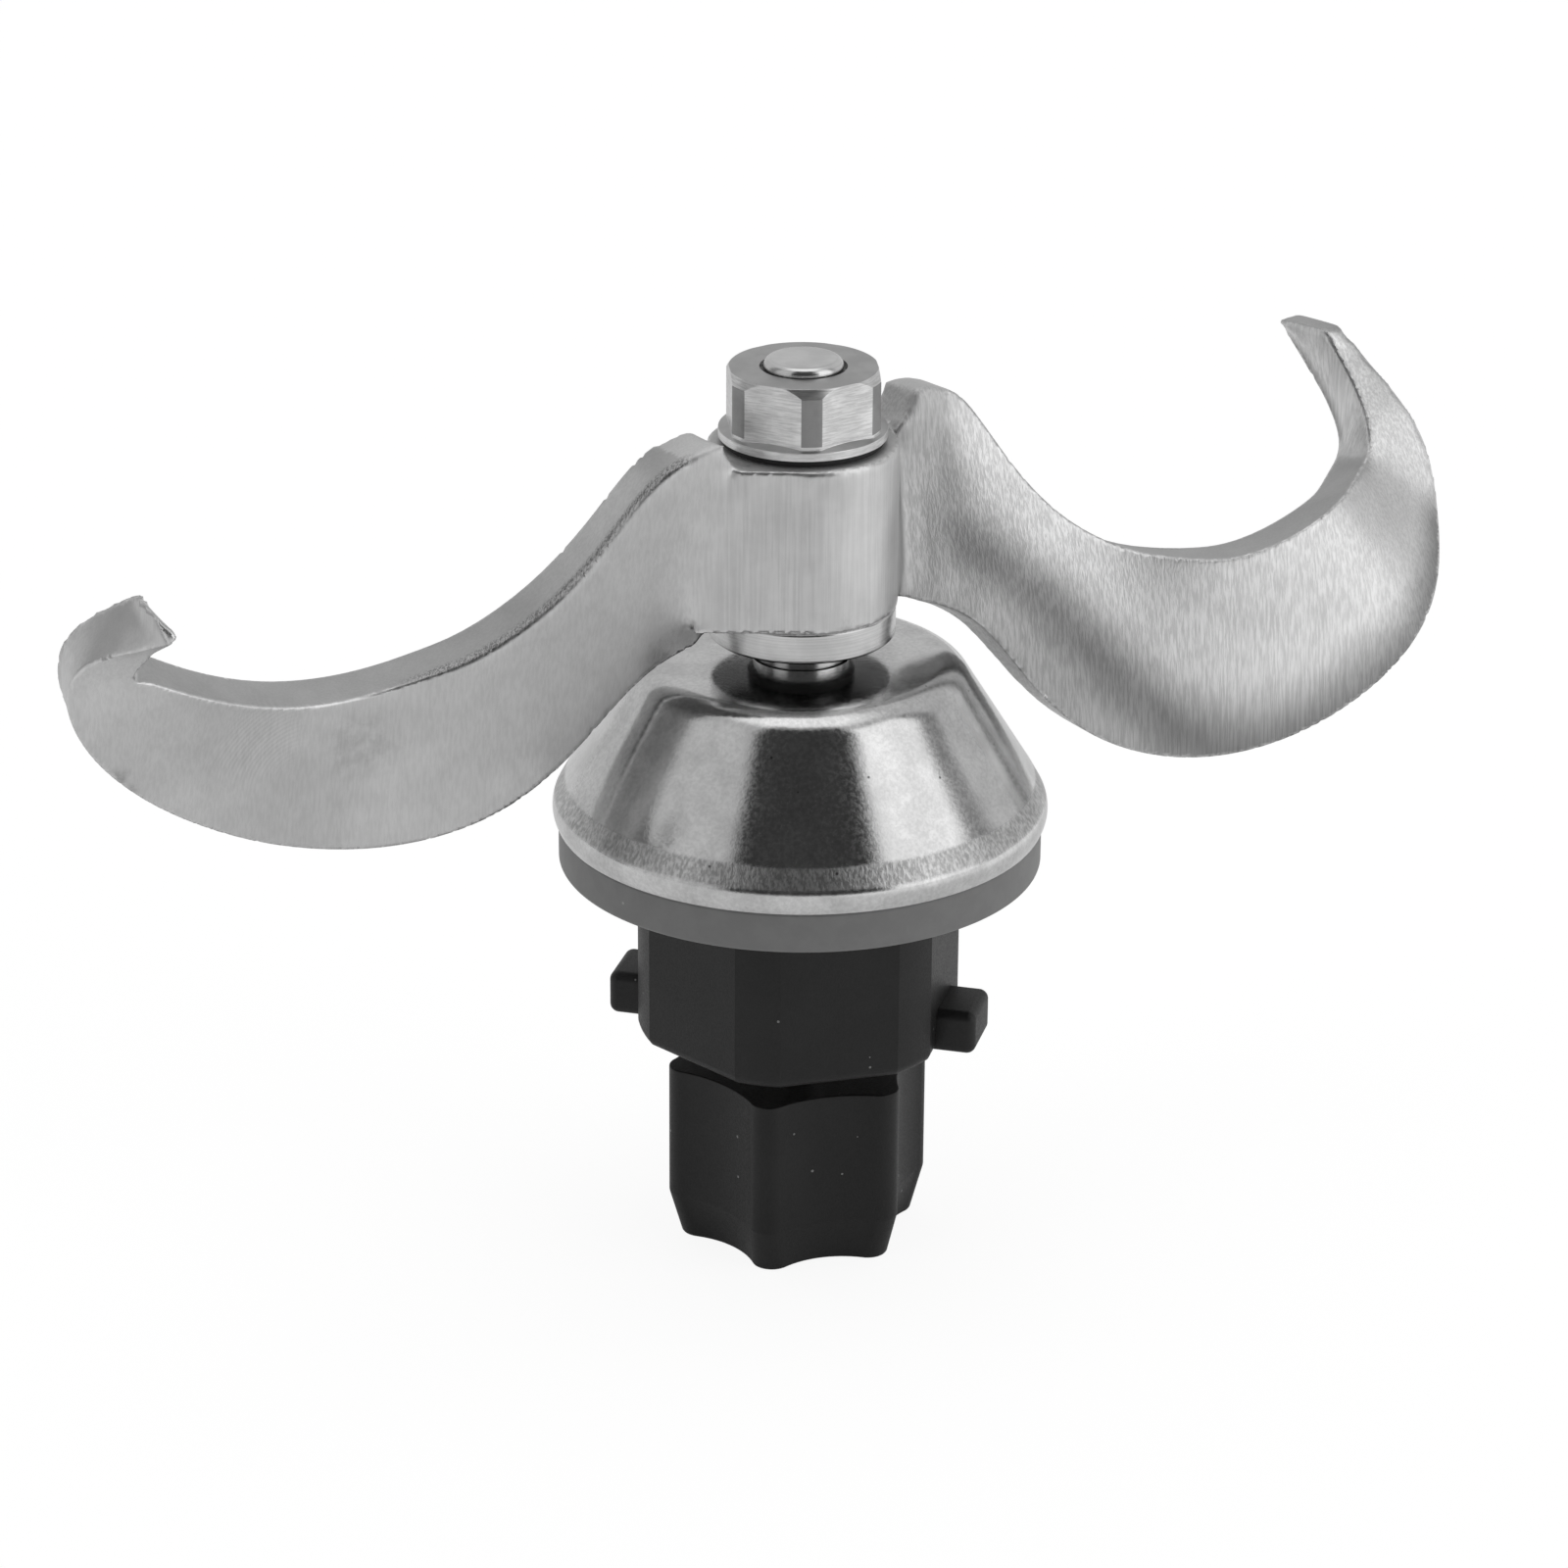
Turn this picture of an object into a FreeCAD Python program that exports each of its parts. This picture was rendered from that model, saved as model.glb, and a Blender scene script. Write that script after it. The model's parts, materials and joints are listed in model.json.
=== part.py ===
import FreeCAD, Part
import math
import os

from FreeCAD import Vector

# Food processor blade on its bearing housing, millimetres, +Z up.
# The origin is on the spindle's axis, at the foot of the drive coupling.
# The two bayonet lugs point along +X and -X.

Z = Vector(0, 0, 1)
X = Vector(1, 0, 0)

# Clearances, and what cuts and fits need
PRESS = 0.02          # radial gap left between pieces that are pressed or pushed together
RUNNING = 0.05        # radial gap between a turning and a standing surface
BALL_PLAY = 0.06      # gap between a ball and its grooves or pocket
PAST = 1.0            # a cut starts and ends this far outside what it cuts
SAME = 0.0001         # lengths closer than this are the same

# Drive coupling: a star of six lobes under the lock body
STAR_LOBES = 6
STAR_TIP_R = 12.7
STAR_LOBE_ROUND = 1.9
STAR_LOBE_WRAP = 60.0  # degrees that a lobe's round runs to either side of its tip
STAR_FLUTE_DEPTH = 2.5
STAR_HEIGHT = 17.8
STAR_TAPER_HEIGHT = 4.5
STAR_TAPER = 1.3
STAR_RECESS_R = 6.5
STAR_RECESS_DEPTH = 5.0
PIN_R = 1.5
PIN_LENGTH = 15.0
PIN_HEIGHT = 12.0

# Lock body: hexagonal below, a round bearing tube above, inside the dome
BODY_GAP = 3.2        # dark gap between the coupling and the lock body
BODY_FLATS = 28.6
BODY_CORNER_R = 15.4
BODY_HEX_HEIGHT = 17.6
BODY_FOOT_ROUND = 1.2
NECK_R = 15.5         # round neck inside the seal ring
FLANGE_R = 20.0
LUG_REACH = 18.0
LUG_WIDTH = 6.7
LUG_HEIGHT = 4.3
LUG_FOOT = 0.1        # height of the lugs' underside over the body's foot
LUG_ROUND = 0.9
LUG_ROOT = 1.0        # how far a lug starts inside the body's flat

# Seal ring between the lock body and the dome cover
RING_R = 22.75
RING_HEIGHT = 3.9
RING_LIP = 1.2
RING_ROUND = 0.35

# Dome cover, drawn from sheet
DOME_SHEET = 0.8
DOME_HEIGHT = 16.5
DOME_CROWN = 0.5      # the top rises this much from its shoulder to the axis
DOME_FOOT_R = 22.9
DOME_BULGE_R = 23.6
DOME_BULGE_HEIGHT = 1.6
DOME_SHOULDER_R = 14.8
DOME_SHOULDER_ROUND = 3.5
DOME_BULGE_ROUND = 2.6
DOME_SKIRT_HEIGHT = 4.3
DOME_SKIRT_R = 22.1
DOME_HOLE_R = 4.65
DOME_CLEAR = 0.4      # between the body's bearing tube and the dome
RIM_SEAT_HEIGHT = 1.6

# Bearings, two alike, 8 x 22 x 7, on the spindle. Their rings and balls keep
# their shares of the bearing's radial depth.
SPINDLE_R = 4.0       # in the bearings, the coupling, the hub and the nut
SHAFT_R = 4.45        # bare shaft between the upper bearing and the collar
BEARING_R = 11.0
BEARING_DEEP = BEARING_R - SPINDLE_R
BEARING_RACE = BEARING_DEEP * 2 / 7     # radial thickness of the inner ring
BEARING_RIM = BEARING_DEEP * 1.7 / 7    # and of the outer ring
BALL_R = BEARING_DEEP * 1.98 / 7
CAGE_GAP = BEARING_DEEP * 0.6 / 7       # between the cage and the rings
BEARING_WIDTH = 7.0
BALLS = 7
CAGE_WALL = 0.5       # the cage's wall beside its balls
LOWER_BEARING_RISE = 5.0
TUBE_WALL = 1.6       # wall of the body's tube round the bearings
TUBE_R = BEARING_R + TUBE_WALL
CLIP_THICK = 1.0
CLIP_DEPTH = 0.6      # how far a retaining ring goes into its groove
CLIP_WIDTH = 2.0
CLIP_OPENING = 4.0

# Shaft seal, over the upper bearing and close under the dome. Its case, rubber
# and spring keep their shares of the seal's radial depth.
SEAT_WALL = 1.0       # body's lip between the upper bearing and the seal
SEAL_STEP = 2.0       # the seal's bore is this much smaller than the bearing's
SEAT_STEP = 1.0       # and the lip's opening this much smaller again
SEAL_R = BEARING_R - SEAL_STEP
SEAL_DEEP = SEAL_R - SHAFT_R
SEAL_HEIGHT = 3.5
SEAL_UNDER_DOME = 0.7
SEAL_CASE_WALL = SEAL_DEEP * 0.13
SEAL_MOUTH = SEAL_DEEP * 0.35           # the case's opening round the spindle
SEAL_LIP_THICK = SEAL_DEEP * 0.2
SEAL_SKIN = SEAL_DEEP * 0.15            # rubber inside the case's wall
GARTER_R = SEAL_DEEP * 0.1
SEAL_LIP_RISE = 0.8   # height of the running edge over the seat
COVER_CORD_R = 0.55   # round section of the sealing ring under the dome
CORD_SLACK = 0.15     # beside that ring in its channel

# Spindle and what is stacked on it
STUD_END_R = 3.7
STUD_END_ROUND = 0.79
STUD_OVER_NUT = 0.8
STUD_END_DROP = 1.0   # its thread stops this far inside the nut
NECK_SHOWN = 2.15     # bare shaft between the dome and the collar
SMALL_RING_HEIGHT = 0.8
SMALL_RING_R = 5.0
COLLAR_R = 8.75
COLLAR_HEIGHT = 3.1
COLLAR_CHAMFER = 0.3
SCREW_R = 2.0
SCREW_HEAD_R = 3.4
SCREW_HEAD_HEIGHT = 2.4
SCREW_LENGTH = 5.5
SCREW_SOCKET_R = 1.5
SCREW_SOCKET_DEPTH = 1.4
SCREW_CLEAR = 0.2     # radial gap between the screw and its washer
SCREW_SPARE = 0.5     # the spindle's hole goes this far past the screw's end
WASHER_R = 5.6
WASHER_THICK = 1.0
END_SHY = 0.2         # the spindle ends this far inside the coupling, so the screw clamps

# Blade hub, gasket and nut
HUB_R = 8.9
HUB_HEIGHT = 15.65
HUB_CHAMFER = 0.25
GASKET_R = 7.4
GASKET_THICK = 0.6
NUT_FLATS = 13.6
NUT_CORNER_R = 7.4
NUT_HEIGHT = 6.6
NUT_FLANGE_R = 7.8
NUT_RIM = 0.8
NUT_CONE = 0.35
NUT_TOP_R = 6.85
NUT_TOP_CHAMFER = 0.85
NUT_TURN = -9.5       # degrees that a corner of the nut stands from the lugs' line

# Arms of the blade, swept as a flat bar with a falling and then rising path.
# Each station: out from the axis, sideways, height over the arms' datum, depth
# of the bar there, and its twist in degrees. Both arms are hand finished, so
# they differ by a few millimetres near their tips.
ARM_DATUM = 0.45      # height of the arms' datum over the hub's foot
ARM_THICK = 4.8
ARM_STEPS = 27
ARM_BOUND = 100.0     # wider than the arms are long
WEB_SHY = 0.7         # the web at an arm's root ends this far before its second station
WEB_INSET = 0.15      # and lies this far inside the arm's hollow face there
SHOULDER_CLEAR_R = 11.6   # the arms are milled clear to this radius above the hub
SHOULDER_ROUND = 3.0      # corner radius of that milled seat
FOOT_CLEAR_R = 11.8       # and to this one below it
FOOT_ROUND = 3.0
LEFT_TIP_RISE = 13.4      # the tips are ground off level at these heights over the datum
RIGHT_TIP_RISE = 15.3
LEFT_TIP_OUT = 57.1       # a slanting end is ground from this point of the left tip
LEFT_TIP_ASIDE = 37.0
LEFT_TIP_SLANT = 42.0     # degrees that the slanting end falls towards the axis
LEFT_TIP_LEAN = 23.0      # degrees that it rises away from the arm
TIP_DEPTH = 8.0           # reach of that cut to the other side
BLADE_TURN = 14.5         # degrees from the lugs' line to the blade's own X
LEFT_ARM = [
    (5.5, 4.5, 10.5, 15.5, -2), (10.5, 6.5, 7.0, 18.5, 1), (19.0, 8.0, 0.1, 13.4, -1),
    (29.5, 10.5, -8.5, 16.6, 3), (41.0, 14.5, -10.9, 15.9, 5), (51.0, 21.5, -7.5, 13.0, 2),
    (58.5, 28.5, -1.0, 10.0, -6), (61.0, 31.0, 4.8, 6.0, -15), (57.5, 33.5, 9.2, 2.5, -5),
    (55.0, 37.5, 11.8, 1.0, 30),
]
RIGHT_ARM = [
    (5.5, 5.0, 10.5, 16.5, 2), (10.5, 6.5, 7.0, 19.5, -5), (19.0, 8.0, 0.5, 13.0, -6),
    (29.5, 10.5, -8.0, 18.0, 0), (42.5, 14.5, -10.3, 19.4, 4), (53.6, 21.0, -5.5, 17.2, 3),
    (56.5, 28.5, -0.5, 11.9, -4), (56.2, 32.0, 5.0, 6.2, -14), (52.4, 35.0, 11.0, 2.8, -16),
    (48.7, 36.5, 17.0, 3.2, -10),
]

# Heights along the axis, from the foot up
BODY_Z = STAR_HEIGHT + BODY_GAP
RING_Z = BODY_Z + BODY_HEX_HEIGHT
RIM_Z = RING_Z + RING_HEIGHT
DOME_TOP_Z = RIM_Z + DOME_HEIGHT
LOWER_Z = BODY_Z + LOWER_BEARING_RISE
DOME_SHOULDER_Z = DOME_TOP_Z - DOME_CROWN
DOME_CROWN_R = (DOME_SHOULDER_R ** 2 + DOME_CROWN ** 2) / (2 * DOME_CROWN)


def under_dome(r):
    """Height of the dome's inner face at a distance from the axis."""
    return DOME_TOP_Z - DOME_CROWN_R + math.sqrt(DOME_CROWN_R ** 2 - r ** 2) - DOME_SHEET


TUBE_TOP_Z = under_dome(TUBE_R) - DOME_CLEAR
SEAL_Z = under_dome(SEAL_R) - SEAL_UNDER_DOME - SEAL_HEIGHT
SEAT_Z = SEAL_Z - SEAT_WALL
UPPER_Z = SEAT_Z - BEARING_WIDTH
CORD_PITCH_R = (SEAL_R + TUBE_R) / 2
CORD_Z = under_dome(CORD_PITCH_R) - 2 * COVER_CORD_R - PRESS
COLLAR_Z = DOME_TOP_Z + NECK_SHOWN
HUB_Z = COLLAR_Z + COLLAR_HEIGHT
ARM_Z = HUB_Z + ARM_DATUM
GASKET_Z = HUB_Z + HUB_HEIGHT
NUT_Z = GASKET_Z + GASKET_THICK
STUD_TOP_Z = NUT_Z + NUT_HEIGHT + STUD_OVER_NUT
SHAFT_FOOT_Z = STAR_RECESS_DEPTH + END_SHY
BALL_PITCH_R = (SPINDLE_R + BEARING_RACE + BEARING_R - BEARING_RIM) / 2


def disc(r, z0, z1):
    return Part.makeCylinder(r, z1 - z0, Vector(0, 0, z0), Z)


def tube(r_in, r_out, z0, z1):
    return disc(r_out, z0, z1).cut(disc(r_in, z0 - PAST, z1 + PAST))


def turned(profile):
    """Solid of revolution from a closed outline of (radius, height) points."""
    points = [Vector(r, 0, z) for r, z in profile + profile[:1]]
    return Part.Face(Part.makePolygon(points)).revolve(Vector(), Z, 360)


def prism(outline, z0, z1):
    points = [Vector(x, y, z0) for x, y in outline + outline[:1]]
    return Part.Face(Part.makePolygon(points)).extrude(Vector(0, 0, z1 - z0))


def polar(r, degrees):
    a = math.radians(degrees)
    return (r * math.cos(a), r * math.sin(a))


def hexagon(flats, first_corner, z0, z1):
    corner = flats / math.sqrt(3)
    return prism([polar(corner, first_corner + 60 * k) for k in range(6)], z0, z1)


def edges_at(shape, z, r_min=0.0):
    """Edges that lie level at height z, no nearer to the axis than r_min."""
    found = []
    for edge in shape.Edges:
        box = edge.BoundBox
        reach = max(math.hypot(v.X, v.Y) for v in edge.Vertexes)
        if abs(box.ZMin - z) < SAME and abs(box.ZMax - z) < SAME and reach >= r_min:
            found.append(edge)
    return found


def star_wire(tip_r, z):
    """Closed star outline: round lobes joined by concave flutes, all arcs."""
    lobe_centre = tip_r - STAR_LOBE_ROUND
    flute_r = tip_r - STAR_FLUTE_DEPTH
    half = 180.0 / STAR_LOBES
    edges = []
    for k in range(STAR_LOBES):
        turn = half + 2 * half * k
        cx, cy = polar(lobe_centre, turn)
        ax, ay = polar(STAR_LOBE_ROUND, turn - STAR_LOBE_WRAP)
        bx, by = polar(STAR_LOBE_ROUND, turn + STAR_LOBE_WRAP)
        tx, ty = polar(tip_r, turn)
        start = Vector(cx + ax, cy + ay, z)
        end = Vector(cx + bx, cy + by, z)
        edges.append(Part.Arc(start, Vector(tx, ty, z), end).toShape())
        mx, my = polar(flute_r, turn + half)
        nx, ny = polar(lobe_centre, turn + 2 * half)
        ex, ey = polar(STAR_LOBE_ROUND, turn + 2 * half - STAR_LOBE_WRAP)
        edges.append(Part.Arc(end, Vector(mx, my, z), Vector(nx + ex, ny + ey, z)).toShape())
    return Part.Wire(edges)


def drive_coupling():
    straight = Part.Face(star_wire(STAR_TIP_R, STAR_TAPER_HEIGHT)).extrude(
        Vector(0, 0, STAR_HEIGHT - STAR_TAPER_HEIGHT))
    foot = Part.makeLoft(
        [star_wire(STAR_TIP_R - STAR_TAPER, 0), star_wire(STAR_TIP_R, STAR_TAPER_HEIGHT)], True, True)
    star = straight.fuse(foot)
    star = star.cut(disc(STAR_RECESS_R, -PAST, STAR_RECESS_DEPTH))
    star = star.cut(disc(SPINDLE_R + PRESS, STAR_RECESS_DEPTH - PAST, STAR_HEIGHT + PAST))
    slot_floor = PIN_HEIGHT - PIN_R - PRESS
    half_slot = PIN_R + PRESS
    slot = Part.makeBox(
        PIN_LENGTH + 2 * RUNNING, 2 * half_slot, STAR_HEIGHT - slot_floor + PAST,
        Vector(-PIN_LENGTH / 2 - RUNNING, -half_slot, slot_floor))
    return star.cut(slot)


def coupling_pin():
    return Part.makeCylinder(PIN_R, PIN_LENGTH, Vector(-PIN_LENGTH / 2, 0, PIN_HEIGHT), X)


def coupling_washer():
    return tube(SCREW_R + SCREW_CLEAR, WASHER_R, STAR_RECESS_DEPTH - WASHER_THICK, STAR_RECESS_DEPTH)


def coupling_screw():
    head_top = STAR_RECESS_DEPTH - WASHER_THICK
    head_foot = head_top - SCREW_HEAD_HEIGHT
    head = disc(SCREW_HEAD_R, head_foot, head_top)
    shank = disc(SCREW_R, head_top, head_top + SCREW_LENGTH)
    socket = hexagon(2 * SCREW_SOCKET_R, 0, head_foot - PAST, head_foot + SCREW_SOCKET_DEPTH)
    return head.fuse(shank).cut(socket)


def lug(side):
    root = BODY_FLATS / 2 - LUG_ROOT
    corner = Vector(root, -LUG_WIDTH / 2, BODY_Z + LUG_FOOT)
    block = Part.makeBox(LUG_REACH - root, LUG_WIDTH, LUG_HEIGHT, corner)
    rounded = [e for e in block.Edges if e.BoundBox.XMax > LUG_REACH - SAME]
    block = block.makeFillet(LUG_ROUND, rounded)
    if side < 0:
        block.rotate(Vector(), Z, 180)
    return block


def lock_body():
    body = hexagon(BODY_FLATS, 30, BODY_Z, RING_Z)
    body = body.common(disc(BODY_CORNER_R, BODY_Z, RING_Z))
    body = body.makeFillet(BODY_FOOT_ROUND, edges_at(body, BODY_Z))
    for side in (1, -1):
        body = body.fuse(lug(side))
    body = body.fuse(disc(NECK_R, RING_Z, RING_Z + RING_LIP))
    body = body.fuse(disc(FLANGE_R, RING_Z + RING_LIP, RIM_Z))
    body = body.fuse(disc(DOME_FOOT_R - DOME_SHEET - PRESS, RIM_Z, RIM_Z + RIM_SEAT_HEIGHT))
    body = body.fuse(disc(TUBE_R, RIM_Z, TUBE_TOP_Z))
    body = body.cut(disc(BEARING_R + PRESS, BODY_Z - PAST, SEAT_Z))
    body = body.cut(disc(SEAL_R - SEAT_STEP, SEAT_Z - PAST, SEAL_Z + PAST))
    body = body.cut(disc(SEAL_R + PRESS, SEAL_Z, TUBE_TOP_Z + PAST))
    groove_z = LOWER_Z - CLIP_THICK - PRESS
    body = body.cut(disc(BEARING_R + CLIP_DEPTH, groove_z, LOWER_Z))
    half = COVER_CORD_R + CORD_SLACK
    channel = tube(CORD_PITCH_R - half, CORD_PITCH_R + half, CORD_Z, TUBE_TOP_Z + PAST)
    return body.cut(channel).removeSplitter()


def cover_o_ring():
    return Part.makeTorus(CORD_PITCH_R, COVER_CORD_R, Vector(0, 0, CORD_Z + COVER_CORD_R), Z)


def bowl_seal_ring():
    ring = disc(RING_R, RING_Z, RIM_Z)
    ring = ring.makeFillet(RING_ROUND, edges_at(ring, RING_Z) + edges_at(ring, RIM_Z))
    ring = ring.cut(disc(NECK_R + PRESS, RING_Z - PAST, RIM_Z + PAST))
    return ring.cut(disc(FLANGE_R + PRESS, RING_Z + RING_LIP, RIM_Z + PAST))


def dome_solid(inset):
    """The dome's outline turned solid, drawn in by inset from its outer face."""
    shoulder = DOME_SHOULDER_Z - inset
    lean = (DOME_SKIRT_R - DOME_SHOULDER_R) / (DOME_SHOULDER_Z - RIM_Z - DOME_SKIRT_HEIGHT)
    skirt_in = inset * math.hypot(1, lean)
    shoulder_r = DOME_SHOULDER_R - skirt_in + inset * lean
    middle = Vector(shoulder_r / 2, 0, under_dome(shoulder_r / 2) + DOME_SHEET - inset)
    points = [
        Vector(0, 0, DOME_TOP_Z - inset), Vector(0, 0, RIM_Z), Vector(DOME_FOOT_R - inset, 0, RIM_Z),
        Vector(DOME_BULGE_R - inset, 0, RIM_Z + DOME_BULGE_HEIGHT),
        Vector(DOME_SKIRT_R - skirt_in, 0, RIM_Z + DOME_SKIRT_HEIGHT), Vector(shoulder_r, 0, shoulder),
    ]
    crown = Part.Arc(points[-1], middle, points[0]).toShape()
    outline = Part.Wire(Part.makePolygon(points).Edges + [crown])
    solid = Part.Face(outline).revolve(Vector(), Z, 360)
    solid = solid.makeFillet(DOME_SHOULDER_ROUND - inset, edges_at(solid, shoulder))
    return solid.makeFillet(DOME_BULGE_ROUND - inset, edges_at(solid, RIM_Z + DOME_BULGE_HEIGHT))


def dome_cover():
    shell = dome_solid(0).cut(dome_solid(DOME_SHEET))
    return shell.cut(disc(DOME_HOLE_R, RIM_Z, DOME_TOP_Z + PAST))


def bearing_ring(r_in, r_out, z):
    ring = tube(r_in, r_out, z, z + BEARING_WIDTH)
    middle = Vector(0, 0, z + BEARING_WIDTH / 2)
    return ring.cut(Part.makeTorus(BALL_PITCH_R, BALL_R + BALL_PLAY, middle, Z))


def inner_ring(z):
    return bearing_ring(SPINDLE_R + PRESS, SPINDLE_R + BEARING_RACE, z)


def outer_ring(z):
    return bearing_ring(BEARING_R - BEARING_RIM, BEARING_R, z)


def ball_centres(z):
    middle = z + BEARING_WIDTH / 2
    for k in range(BALLS):
        x, y = polar(BALL_PITCH_R, 360.0 * k / BALLS)
        yield Vector(x, y, middle)


def balls(z):
    return Part.makeCompound([Part.makeSphere(BALL_R, c) for c in ball_centres(z)])


def cage(z):
    """Ring round the balls' pitch circle, with a round pocket drilled through it for each ball."""
    half = BALL_R + CAGE_WALL
    middle = z + BEARING_WIDTH / 2
    inner = SPINDLE_R + BEARING_RACE + CAGE_GAP
    outer = BEARING_R - BEARING_RIM - CAGE_GAP
    ring = tube(inner, outer, middle - half, middle + half)
    for c in ball_centres(z):
        outward = Vector(c.x, c.y, 0)
        start = Vector(c.x / 2, c.y / 2, c.z)
        ring = ring.cut(Part.makeCylinder(BALL_R + BALL_PLAY, BEARING_R, start, outward))
    return ring


def inner_spacer():
    return tube(SPINDLE_R + PRESS, SPINDLE_R + BEARING_RACE, LOWER_Z + BEARING_WIDTH, UPPER_Z)


def outer_spacer():
    return tube(BEARING_R - BEARING_RIM, BEARING_R, LOWER_Z + BEARING_WIDTH, UPPER_Z)


def clip_gap():
    """Opening of a retaining ring under the lower bearing, towards +X."""
    return Part.makeBox(
        BEARING_R * 2, CLIP_OPENING, CLIP_THICK + 2 * PAST,
        Vector(0, -CLIP_OPENING / 2, LOWER_Z - CLIP_THICK - PAST))


def bearing_clip():
    """Internal retaining ring with its opening towards +X."""
    ring = tube(BEARING_R - CLIP_WIDTH, BEARING_R + CLIP_DEPTH - PRESS, LOWER_Z - CLIP_THICK, LOWER_Z)
    return ring.cut(clip_gap())


def shaft_clip():
    """External retaining ring with its opening towards -X."""
    inner = SPINDLE_R - CLIP_DEPTH + PRESS
    ring = tube(inner, inner + CLIP_WIDTH, LOWER_Z - CLIP_THICK, LOWER_Z)
    return ring.cut(clip_gap().mirror(Vector(), X))


def shaft_seal_case():
    top = SEAL_Z + SEAL_HEIGHT
    case = tube(SEAL_R - SEAL_CASE_WALL, SEAL_R, SEAL_Z, top)
    return case.fuse(tube(SHAFT_R + SEAL_MOUTH, SEAL_R, top - SEAL_CASE_WALL, top))


def shaft_seal_lip():
    """Rubber moulded inside the case, with one lip that runs on the spindle."""
    top = SEAL_Z + SEAL_HEIGHT - SEAL_CASE_WALL
    outer = SEAL_R - SEAL_CASE_WALL
    edge = SEAL_Z + SEAL_LIP_RISE
    back = SHAFT_R + SEAL_LIP_THICK / 2
    front = back + SEAL_LIP_THICK
    return turned([
        (outer, top), (outer, SEAL_Z), (outer - SEAL_SKIN, SEAL_Z),
        (outer - SEAL_SKIN, top - SEAL_LIP_THICK), (front, top - SEAL_LIP_THICK), (front, edge),
        (back, edge - SEAL_LIP_THICK / 2), (SHAFT_R + RUNNING, edge),
        (back, edge + SEAL_LIP_THICK), (back, top),
    ])


def seal_garter_spring():
    r = SHAFT_R + SEAL_LIP_THICK * 1.5 + GARTER_R + PRESS
    z = SEAL_Z + SEAL_LIP_RISE + GARTER_R
    return Part.makeTorus(r, GARTER_R, Vector(0, 0, z), Z)


def spindle_shaft():
    stud_top = STUD_TOP_Z
    thread_top = NUT_Z + NUT_HEIGHT - STUD_END_DROP
    shaft = disc(SPINDLE_R, SHAFT_FOOT_Z, thread_top)
    end = disc(STUD_END_R, thread_top - PAST, stud_top)
    end = end.makeFillet(STUD_END_ROUND, edges_at(end, stud_top))
    shaft = shaft.fuse(end).fuse(disc(SHAFT_R, SEAT_Z, COLLAR_Z))
    groove_z = LOWER_Z - CLIP_THICK - PRESS
    shaft = shaft.cut(tube(SPINDLE_R - CLIP_DEPTH, SPINDLE_R + PAST, groove_z, LOWER_Z))
    pin_start = Vector(-PIN_LENGTH / 2, 0, PIN_HEIGHT)
    shaft = shaft.cut(Part.makeCylinder(PIN_R + PRESS, PIN_LENGTH, pin_start, X))
    screw_top = STAR_RECESS_DEPTH - WASHER_THICK + SCREW_LENGTH + SCREW_SPARE
    return shaft.cut(disc(SCREW_R + PRESS, SHAFT_FOOT_Z - PAST, screw_top)).removeSplitter()


def hub_collar():
    collar = disc(COLLAR_R, COLLAR_Z, HUB_Z)
    collar = collar.makeChamfer(COLLAR_CHAMFER, edges_at(collar, COLLAR_Z) + edges_at(collar, HUB_Z))
    return collar.cut(disc(SPINDLE_R + PRESS, COLLAR_Z - PAST, HUB_Z + PAST))


def collar_o_ring():
    return tube(SHAFT_R + PRESS, SMALL_RING_R, COLLAR_Z - SMALL_RING_HEIGHT, COLLAR_Z)


def nut_gasket():
    return tube(SPINDLE_R + PRESS, GASKET_R, GASKET_Z, NUT_Z)


def flange_nut():
    top = NUT_Z + NUT_HEIGHT
    head = hexagon(NUT_FLATS, NUT_TURN, NUT_Z, top)
    chamfered = turned([
        (0, NUT_Z), (NUT_CORNER_R, NUT_Z), (NUT_CORNER_R, top - NUT_TOP_CHAMFER),
        (NUT_TOP_R, top), (0, top)])
    head = head.common(chamfered)
    flange = turned([
        (0, NUT_Z), (NUT_FLANGE_R, NUT_Z), (NUT_FLANGE_R, NUT_Z + NUT_RIM),
        (NUT_FLATS / 2, NUT_Z + NUT_RIM + NUT_CONE), (0, NUT_Z + NUT_RIM + NUT_CONE)])
    return head.fuse(flange).cut(disc(SPINDLE_R + PRESS, NUT_Z - PAST, top + PAST))


def carried_frames(points, tangents):
    """Up directions carried along a path without turning about it."""
    up = Z - tangents[0] * Z.dot(tangents[0])
    frames = [up.normalize()]
    for k in range(len(points) - 1):
        step = points[k + 1] - points[k]
        scale = 2 / step.dot(step)
        side = frames[k] - step * (scale * step.dot(frames[k]))
        ahead = tangents[k] - step * (scale * step.dot(tangents[k]))
        turn = tangents[k + 1] - ahead
        size = turn.dot(turn)
        frames.append(side if size < 1e-12 else side - turn * (2 / size * turn.dot(side)))
    return frames


def spline(rows):
    """Smooth curve through the rows, at even steps of its parameter from 0 to 1."""
    curve = Part.BSplineCurve()
    last = len(rows) - 1
    curve.interpolate(Points=rows, Parameters=[k / last for k in range(len(rows))])
    return curve


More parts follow.
